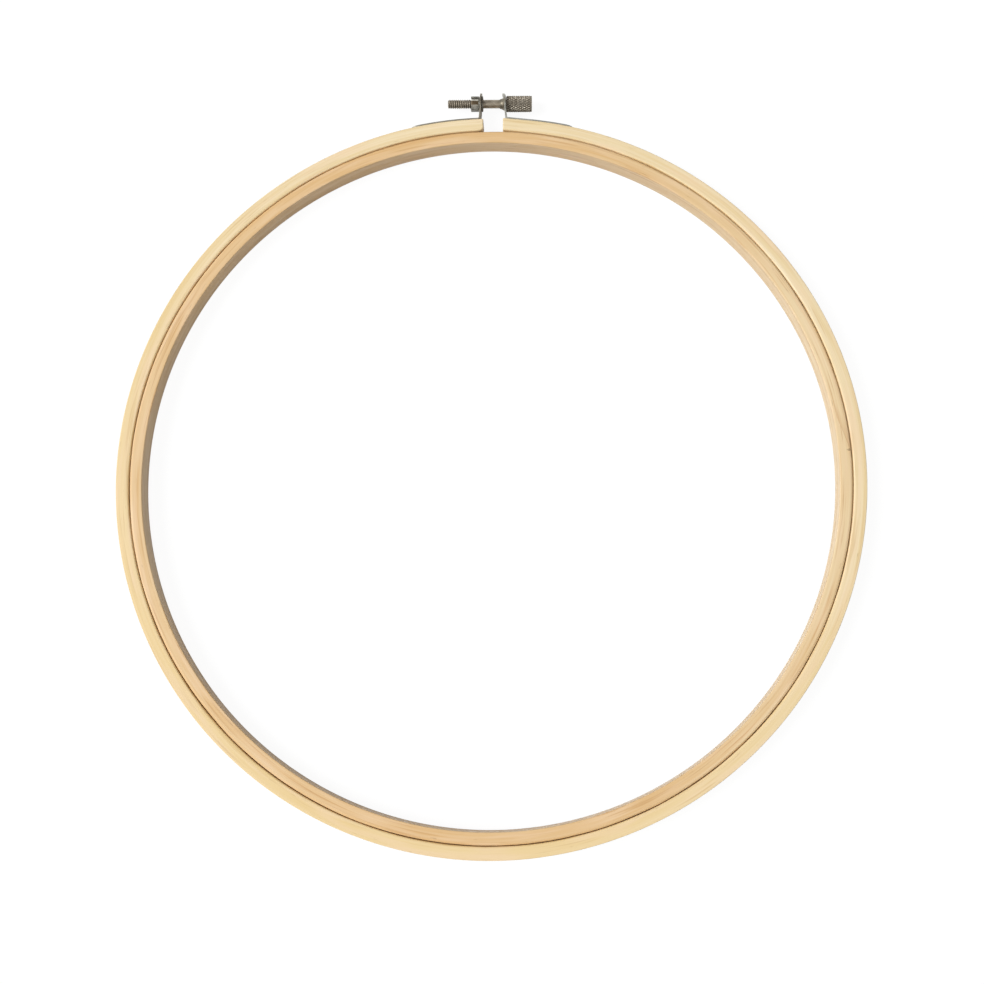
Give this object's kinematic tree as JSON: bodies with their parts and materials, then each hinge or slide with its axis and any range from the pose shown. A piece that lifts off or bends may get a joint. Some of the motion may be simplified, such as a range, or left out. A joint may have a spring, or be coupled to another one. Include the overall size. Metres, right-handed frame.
{
  "type": "embroidery hoop",
  "caption": "Two flat bamboo hoops, one inside the other, that hold cloth taut between them; a knurled screw draws the split outer hoop together.",
  "frame": {"origin": "under the middle of the outline, on the plane that the hoop lies on", "axes": "+Z along the hoops' axis, out of the face seen in the picture; +Y from the middle towards the clamp; +X along the screw, towards its head"},
  "size_m": [0.2632, 0.2746, 0.0085],
  "materials": {
    "outer_bamboo": "sanded, pale",
    "inner_bamboo": "sanded, warmer",
    "bracket_steel": "nickel plated",
    "cage_steel": "nickel plated",
    "turned_steel": "turned, warm",
    "tack_steel": "nickel plated"
  },
  "bodies": {
    "outer_frame": {"outer_hoop": "outer_bamboo", "nut_side_bracket": "bracket_steel", "head_side_bracket": "bracket_steel", "nut_cage": "cage_steel", "nut_side_tack_1": "tack_steel", "nut_side_tack_2": "tack_steel", "head_side_tack_1": "tack_steel", "head_side_tack_2": "tack_steel"},
    "inner_ring": {"inner_hoop": "inner_bamboo"},
    "screw": {"thumbscrew": "turned_steel"},
    "nut": {"clamp_nut": "turned_steel"}
  },
  "joints": [
    {"name": "inner_hoop_lift", "type": "slide", "parent": "outer_frame", "child": "inner_ring", "axis": [0, 0, 1], "range_m": [0, 0.025]},
    {"name": "thumbscrew_turn", "type": "hinge", "parent": "outer_frame", "child": "screw", "pos_m": [0, 0.13348, 0.00425], "axis": [1, 0, 0], "range_deg": [0, 900]},
    {"name": "nut_travel", "type": "slide", "parent": "outer_frame", "child": "nut", "axis": [-1, 0, 0], "range_m": [0, 0.002]}
  ],
  "couplings": [
    {"joint": "thumbscrew_turn", "follows": "nut_travel", "rad_per_m": 7854}
  ]
}
